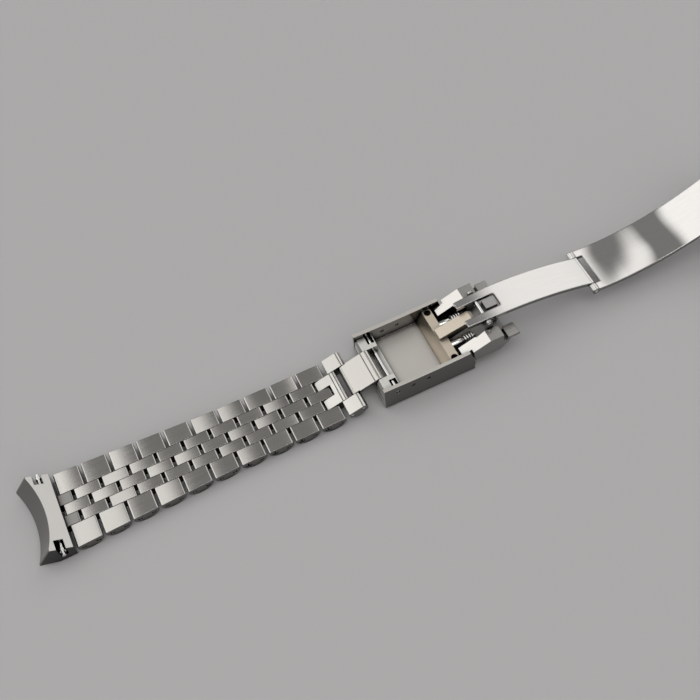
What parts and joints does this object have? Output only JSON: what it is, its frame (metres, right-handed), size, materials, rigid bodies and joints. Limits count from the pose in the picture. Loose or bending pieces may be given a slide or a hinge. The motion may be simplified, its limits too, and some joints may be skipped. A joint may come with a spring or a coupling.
{
  "type": "watch bracelet",
  "caption": "Metal watch bracelet laid open, with tapering link rows, curved end links on spring bars and a folding clasp with a lift lever and curved blades.",
  "frame": {"origin": "centre of the bracelet's plan, on the plane that its outer faces lie on", "axes": "+X along the bracelet from the first end link to the second, +Y across it, +Z towards the wrist side, which faces up"},
  "size_m": [0.2322, 0.0216, 0.016],
  "materials": {
    "link_steel": "satin steel with fine lengthwise brushing and polished end edges",
    "end_link_steel": "satin steel with fine lengthwise brushing and polished end edges",
    "plate_steel": "satin steel",
    "cover_steel": "satin steel",
    "insert_steel": "satin steel with polished bevels",
    "latch_steel": "satin steel",
    "lever_steel": "satin steel with polished slopes",
    "inner_blade_steel": "mirror-polished steel",
    "outer_blade_steel": "mirror-polished steel",
    "pin_steel": "polished steel",
    "screw_steel": "polished steel"
  },
  "bodies": {
    "clasp": {"clasp_cover": "cover_steel", "end_insert": "insert_steel", "extension_pin": "pin_steel", "insert_rod": "pin_steel", "insert_plungers": "pin_steel", "latch_block": "latch_steel", "latch_screws": "screw_steel", "blade_pivot_pin": "pin_steel"},
    "lever": {"lift_lever": "lever_steel", "lever_pin": "pin_steel"},
    "extension": {"extension_link": "plate_steel"},
    "last": {"last_link": "link_steel", "last_side_links": "link_steel", "last_link_pins": "pin_steel"},
    "inner": {"inner_blade": "inner_blade_steel"},
    "outer": {"outer_blade": "outer_blade_steel", "blade_hinge_pin": "pin_steel"},
    "first_row_01": {"first_row_01": "link_steel"},
    "first_row_02": {"first_row_02": "link_steel"},
    "first_row_03": {"first_row_03": "link_steel"},
    "first_row_04": {"first_row_04": "link_steel"},
    "first_row_05": {"first_row_05": "link_steel"},
    "first_row_06": {"first_row_06": "link_steel"},
    "first_row_07": {"first_row_07": "link_steel"},
    "first_row_08": {"first_row_08": "link_steel"},
    "first_row_09": {"first_row_09": "link_steel"},
    "first_row_10": {"first_row_10": "link_steel"},
    "first_inner_links_01": {"first_inner_links_01": "link_steel"},
    "first_inner_links_02": {"first_inner_links_02": "link_steel"},
    "first_inner_links_03": {"first_inner_links_03": "link_steel"},
    "first_inner_links_04": {"first_inner_links_04": "link_steel"},
    "first_inner_links_05": {"first_inner_links_05": "link_steel"},
    "first_inner_links_06": {"first_inner_links_06": "link_steel"},
    "first_inner_links_07": {"first_inner_links_07": "link_steel"},
    "first_inner_links_08": {"first_inner_links_08": "link_steel"},
    "first_inner_links_09": {"first_inner_links_09": "link_steel"},
    "second_row_01": {"second_row_01": "link_steel"},
    "second_row_02": {"second_row_02": "link_steel"},
    "second_row_03": {"second_row_03": "link_steel"},
    "second_row_04": {"second_row_04": "link_steel"},
    "second_row_05": {"second_row_05": "link_steel"},
    "second_row_06": {"second_row_06": "link_steel"},
    "second_row_07": {"second_row_07": "link_steel"},
    "second_inner_links_01": {"second_inner_links_01": "link_steel"},
    "second_inner_links_02": {"second_inner_links_02": "link_steel"},
    "second_inner_links_03": {"second_inner_links_03": "link_steel"},
    "second_inner_links_04": {"second_inner_links_04": "link_steel"},
    "second_inner_links_05": {"second_inner_links_05": "link_steel"},
    "second_inner_links_06": {"second_inner_links_06": "link_steel"},
    "first_end": {"first_end_link": "end_link_steel", "first_spring_bar_tube": "pin_steel"},
    "first_tip_far": {"first_spring_bar_tip_far": "pin_steel"},
    "first_tip_near": {"first_spring_bar_tip_near": "pin_steel"},
    "second_end": {"second_end_link": "end_link_steel", "second_spring_bar_tube": "pin_steel"},
    "second_tip_far": {"second_spring_bar_tip_far": "pin_steel"},
    "second_tip_near": {"second_spring_bar_tip_near": "pin_steel"}
  },
  "joints": [
    {"name": "extension_hinge", "type": "hinge", "parent": "clasp", "child": "extension", "pos_m": [-0.02998, 0, 0.00559], "axis": [0, -1, 0], "range_deg": [-40, 12]},
    {"name": "last_link_hinge", "type": "hinge", "parent": "extension", "child": "last", "pos_m": [-0.03617, 0, 0.00364], "axis": [0, 1, 0], "range_deg": [-30, 50]},
    {"name": "first_hinge_19", "type": "hinge", "parent": "last", "child": "first_row_10", "pos_m": [-0.04215, 0, 0.00165], "axis": [0, -1, 0], "range_deg": [-22, 12]},
    {"name": "first_hinge_18", "type": "hinge", "parent": "first_row_10", "child": "first_inner_links_09", "pos_m": [-0.0455, 0, 0.00165], "axis": [0, 1, 0], "range_deg": [-12, 22]},
    {"name": "first_hinge_17", "type": "hinge", "parent": "first_inner_links_09", "child": "first_row_09", "pos_m": [-0.04885, 0, 0.00165], "axis": [0, -1, 0], "range_deg": [-22, 12]},
    {"name": "first_hinge_16", "type": "hinge", "parent": "first_row_09", "child": "first_inner_links_08", "pos_m": [-0.0522, 0, 0.00165], "axis": [0, 1, 0], "range_deg": [-12, 22]},
    {"name": "first_hinge_15", "type": "hinge", "parent": "first_inner_links_08", "child": "first_row_08", "pos_m": [-0.05555, 0, 0.00165], "axis": [0, -1, 0], "range_deg": [-22, 12]},
    {"name": "first_hinge_14", "type": "hinge", "parent": "first_row_08", "child": "first_inner_links_07", "pos_m": [-0.0589, 0, 0.00165], "axis": [0, 1, 0], "range_deg": [-12, 22]},
    {"name": "first_hinge_13", "type": "hinge", "parent": "first_inner_links_07", "child": "first_row_07", "pos_m": [-0.06225, 0, 0.00165], "axis": [0, -1, 0], "range_deg": [-22, 12]},
    {"name": "first_hinge_12", "type": "hinge", "parent": "first_row_07", "child": "first_inner_links_06", "pos_m": [-0.0656, 0, 0.00165], "axis": [0, 1, 0], "range_deg": [-12, 22]},
    {"name": "first_hinge_11", "type": "hinge", "parent": "first_inner_links_06", "child": "first_row_06", "pos_m": [-0.06895, 0, 0.00165], "axis": [0, -1, 0], "range_deg": [-22, 12]},
    {"name": "first_hinge_10", "type": "hinge", "parent": "first_row_06", "child": "first_inner_links_05", "pos_m": [-0.0723, 0, 0.00165], "axis": [0, 1, 0], "range_deg": [-12, 22]},
    {"name": "first_hinge_09", "type": "hinge", "parent": "first_inner_links_05", "child": "first_row_05", "pos_m": [-0.07565, 0, 0.00165], "axis": [0, -1, 0], "range_deg": [-22, 12]},
    {"name": "first_hinge_08", "type": "hinge", "parent": "first_row_05", "child": "first_inner_links_04", "pos_m": [-0.079, 0, 0.00165], "axis": [0, 1, 0], "range_deg": [-12, 22]},
    {"name": "first_hinge_07", "type": "hinge", "parent": "first_inner_links_04", "child": "first_row_04", "pos_m": [-0.08235, 0, 0.00165], "axis": [0, -1, 0], "range_deg": [-22, 12]},
    {"name": "first_hinge_06", "type": "hinge", "parent": "first_row_04", "child": "first_inner_links_03", "pos_m": [-0.0857, 0, 0.00165], "axis": [0, 1, 0], "range_deg": [-12, 22]},
    {"name": "first_hinge_05", "type": "hinge", "parent": "first_inner_links_03", "child": "first_row_03", "pos_m": [-0.08905, 0, 0.00165], "axis": [0, -1, 0], "range_deg": [-22, 12]},
    {"name": "first_hinge_04", "type": "hinge", "parent": "first_row_03", "child": "first_inner_links_02", "pos_m": [-0.0924, 0, 0.00165], "axis": [0, 1, 0], "range_deg": [-12, 22]},
    {"name": "first_hinge_03", "type": "hinge", "parent": "first_inner_links_02", "child": "first_row_02", "pos_m": [-0.09575, 0, 0.00165], "axis": [0, -1, 0], "range_deg": [-22, 12]},
    {"name": "first_hinge_02", "type": "hinge", "parent": "first_row_02", "child": "first_inner_links_01", "pos_m": [-0.0991, 0, 0.00165], "axis": [0, 1, 0], "range_deg": [-12, 22]},
    {"name": "first_hinge_01", "type": "hinge", "parent": "first_inner_links_01", "child": "first_row_01", "pos_m": [-0.10245, 0, 0.00165], "axis": [0, -1, 0], "range_deg": [-22, 12]},
    {"name": "first_end_link_hinge", "type": "hinge", "parent": "first_row_01", "child": "first_end", "pos_m": [-0.1058, 0, 0.00165], "axis": [0, 1, 0], "range_deg": [-12, 22]},
    {"name": "lever_hinge", "type": "hinge", "parent": "clasp", "child": "lever", "pos_m": [-0.00733, 0, 0.0013], "axis": [0, 1, 0], "range_deg": [0, 40]},
    {"name": "inner_blade_hinge", "type": "hinge", "parent": "clasp", "child": "inner", "pos_m": [-0.00168, 0, 0.01025], "axis": [0, -1, 0], "range_deg": [0, 187]},
    {"name": "outer_blade_hinge", "type": "hinge", "parent": "inner", "child": "outer", "pos_m": [0.02692, 0, 0.0057], "axis": [0, -1, 0], "range_deg": [-182, 0]},
    {"name": "second_hinge_01", "type": "hinge", "parent": "outer", "child": "second_row_01", "pos_m": [0.06624, 0, 0.01424], "axis": [0, 1, 0], "range_deg": [-90, 12]},
    {"name": "second_hinge_02", "type": "hinge", "parent": "second_row_01", "child": "second_inner_links_01", "pos_m": [0.06865, 0, 0.01191], "axis": [0, 1, 0], "range_deg": [-22, 12]},
    {"name": "second_hinge_03", "type": "hinge", "parent": "second_inner_links_01", "child": "second_row_02", "pos_m": [0.07109, 0, 0.00962], "axis": [0, -1, 0], "range_deg": [-12, 22]},
    {"name": "second_hinge_04", "type": "hinge", "parent": "second_row_02", "child": "second_inner_links_02", "pos_m": [0.07369, 0, 0.00751], "axis": [0, 1, 0], "range_deg": [-22, 12]},
    {"name": "second_hinge_05", "type": "hinge", "parent": "second_inner_links_02", "child": "second_row_03", "pos_m": [0.07642, 0, 0.00557], "axis": [0, -1, 0], "range_deg": [-12, 22]},
    {"name": "second_hinge_06", "type": "hinge", "parent": "second_row_03", "child": "second_inner_links_03", "pos_m": [0.07933, 0, 0.00392], "axis": [0, 1, 0], "range_deg": [-22, 12]},
    {"name": "second_hinge_07", "type": "hinge", "parent": "second_inner_links_03", "child": "second_row_04", "pos_m": [0.08245, 0, 0.00268], "axis": [0, -1, 0], "range_deg": [-12, 22]},
    {"name": "second_hinge_08", "type": "hinge", "parent": "second_row_04", "child": "second_inner_links_04", "pos_m": [0.08572, 0, 0.00194], "axis": [0, 1, 0], "range_deg": [-22, 12]},
    {"name": "second_hinge_09", "type": "hinge", "parent": "second_inner_links_04", "child": "second_row_05", "pos_m": [0.08905, 0, 0.00165], "axis": [0, -1, 0], "range_deg": [-12, 22]},
    {"name": "second_hinge_10", "type": "hinge", "parent": "second_row_05", "child": "second_inner_links_05", "pos_m": [0.0924, 0, 0.00165], "axis": [0, 1, 0], "range_deg": [-22, 12]},
    {"name": "second_hinge_11", "type": "hinge", "parent": "second_inner_links_05", "child": "second_row_06", "pos_m": [0.09575, 0, 0.00165], "axis": [0, -1, 0], "range_deg": [-12, 22]},
    {"name": "second_hinge_12", "type": "hinge", "parent": "second_row_06", "child": "second_inner_links_06", "pos_m": [0.0991, 0, 0.00165], "axis": [0, 1, 0], "range_deg": [-22, 12]},
    {"name": "second_hinge_13", "type": "hinge", "parent": "second_inner_links_06", "child": "second_row_07", "pos_m": [0.10245, 0, 0.00165], "axis": [0, -1, 0], "range_deg": [-12, 22]},
    {"name": "second_end_link_hinge", "type": "hinge", "parent": "second_row_07", "child": "second_end", "pos_m": [0.1058, 0, 0.00165], "axis": [0, 1, 0], "range_deg": [-22, 12]},
    {"name": "first_tip_far_slide", "type": "slide", "parent": "first_end", "child": "first_tip_far", "axis": [0, -1, 0], "range_m": [0, 0.0008]},
    {"name": "first_tip_near_slide", "type": "slide", "parent": "first_end", "child": "first_tip_near", "axis": [0, 1, 0], "range_m": [0, 0.0008]},
    {"name": "second_tip_far_slide", "type": "slide", "parent": "second_end", "child": "second_tip_far", "axis": [0, -1, 0], "range_m": [0, 0.0008]},
    {"name": "second_tip_near_slide", "type": "slide", "parent": "second_end", "child": "second_tip_near", "axis": [0, 1, 0], "range_m": [0, 0.0008]}
  ],
  "couplings": [
    {"joint": "outer_blade_hinge", "follows": "inner_blade_hinge", "ratio": -0.97}
  ]
}
